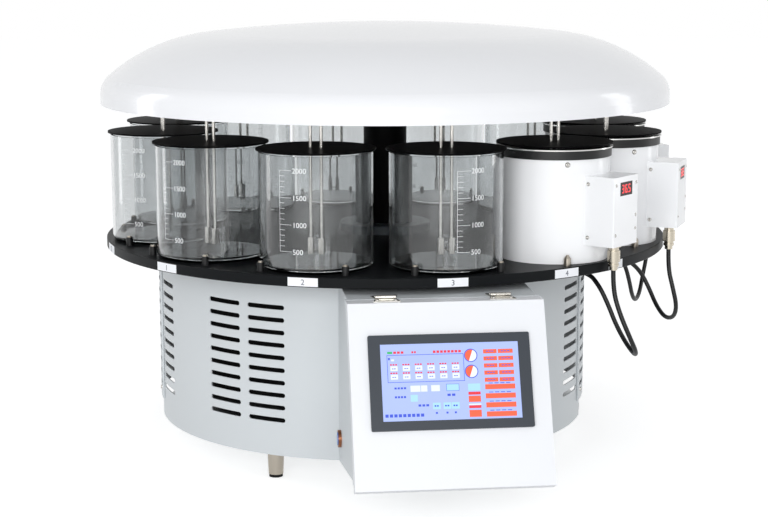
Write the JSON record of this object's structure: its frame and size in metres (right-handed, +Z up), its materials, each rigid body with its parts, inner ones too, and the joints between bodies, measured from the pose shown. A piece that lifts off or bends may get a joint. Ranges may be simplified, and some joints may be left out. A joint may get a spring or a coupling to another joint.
{
  "type": "carousel tissue processor",
  "caption": "Bench-top tissue processor: carousel of glass beakers and heated wax baths under a domed head that lifts and turns, on a slotted drum cabinet with a sloping touch panel.",
  "frame": {"origin": "centre of the rectangle of the four feet, on the bench, on the carousel's axis", "axes": "+Z up along the carousel's axis, -Y to the front, +X to the right of someone facing it"},
  "size_m": [0.801, 0.9189, 0.5813],
  "materials": {
    "plate_zinc": "zinc plated",
    "cabinet_grey": "powder coated, satin",
    "brushed_steel": "turned and brushed",
    "black_rubber": "matt",
    "deck_black": "satin black",
    "black_plastic": "matt",
    "collar_grey": "satin",
    "motor_black": "satin",
    "board_green": "satin",
    "bronze_ring": "brushed",
    "display_dark": "glossy",
    "connector_metal": "knurled",
    "door_white": "powder coated, satin",
    "bezel_dark": "satin",
    "screen_blue": "lit touch screen",
    "button_blue": "translucent blue",
    "bronze": "turned",
    "aluminium": "turned",
    "dome_white": "gloss",
    "clear_glass": "clear",
    "bath_white": "powder coated, gloss",
    "cable_black": "satin"
  },
  "bodies": {
    "base": {"base_plate": "plate_zinc", "cabinet_shell": "cabinet_grey", "rear_cover": "cabinet_grey", "feet": "brushed_steel", "foot_pads": "black_rubber", "deck": "deck_black", "deck_posts": "black_plastic", "locating_pins": "brushed_steel", "column_sleeve": "deck_black", "column_collar": "collar_grey", "lift_motor": "motor_black", "power_supply": "plate_zinc", "power_inlet": "black_plastic", "control_board": "board_green", "control_box": "cabinet_grey", "box_hinges": "brushed_steel", "power_button_ring": "bronze_ring", "cable_glands": "black_plastic", "bath_pots": "brushed_steel", "bath_collars": "black_plastic", "bath_displays": "display_dark", "cable_connectors": "connector_metal", "beaker_01": "clear_glass", "beaker_02": "clear_glass", "beaker_03": "clear_glass", "beaker_07": "clear_glass", "beaker_08": "clear_glass", "beaker_09": "clear_glass", "beaker_10": "clear_glass", "beaker_11": "clear_glass", "beaker_12": "clear_glass", "bath_housing_4": "bath_white", "bath_control_box_4": "bath_white", "bath_cable_4": "cable_black", "bath_housing_5": "bath_white", "bath_control_box_5": "bath_white", "bath_cable_5": "cable_black", "bath_housing_6": "bath_white", "bath_control_box_6": "bath_white", "bath_cable_6": "cable_black"},
    "control_door": {"control_door": "door_white", "screen_bezel": "bezel_dark", "screen_glass": "screen_blue", "door_hinge_leaves": "brushed_steel"},
    "lift": {"lift_tube": "brushed_steel", "lift_nut": "bronze", "head_bearing": "brushed_steel", "index_table": "aluminium", "index_motor": "motor_black"},
    "head": {"dome": "dome_white", "head_plate": "deck_black", "head_hub": "aluminium", "output_ring": "brushed_steel", "lids": "deck_black", "hanger_rods": "brushed_steel", "hanger_hooks": "brushed_steel", "hanger_clips": "brushed_steel"},
    "power_button": {"power_button": "button_blue"},
    "lead_screw": {"lead_screw": "brushed_steel"}
  },
  "joints": [
    {"name": "head_lift", "type": "slide", "parent": "base", "child": "lift", "axis": [0, 0, 1], "range_m": [0, 0.15]},
    {"name": "screw_turn", "type": "hinge", "parent": "base", "child": "lead_screw", "pos_m": [0, 0, 0.15], "axis": [0, 0, -1], "range_deg": [-5, 5405]},
    {"name": "head_turn", "type": "hinge", "parent": "lift", "child": "head", "pos_m": [0, 0, 0.48], "axis": [0, 0, 1], "continuous": true},
    {"name": "door_hinge", "type": "hinge", "parent": "base", "child": "control_door", "pos_m": [0.06949, -0.40296, 0.2741], "axis": [-0.9932, -0.1167, 0], "range_deg": [0, 90]},
    {"name": "power_button_press", "type": "slide", "parent": "base", "child": "power_button", "axis": [0.9932, 0.1167, 0], "range_m": [0, 0.0025], "stiffness_N_per_m": 800, "springref_m": -0.002}
  ],
  "couplings": [
    {"joint": "screw_turn", "follows": "head_lift", "rad_per_m": 628.32}
  ]
}
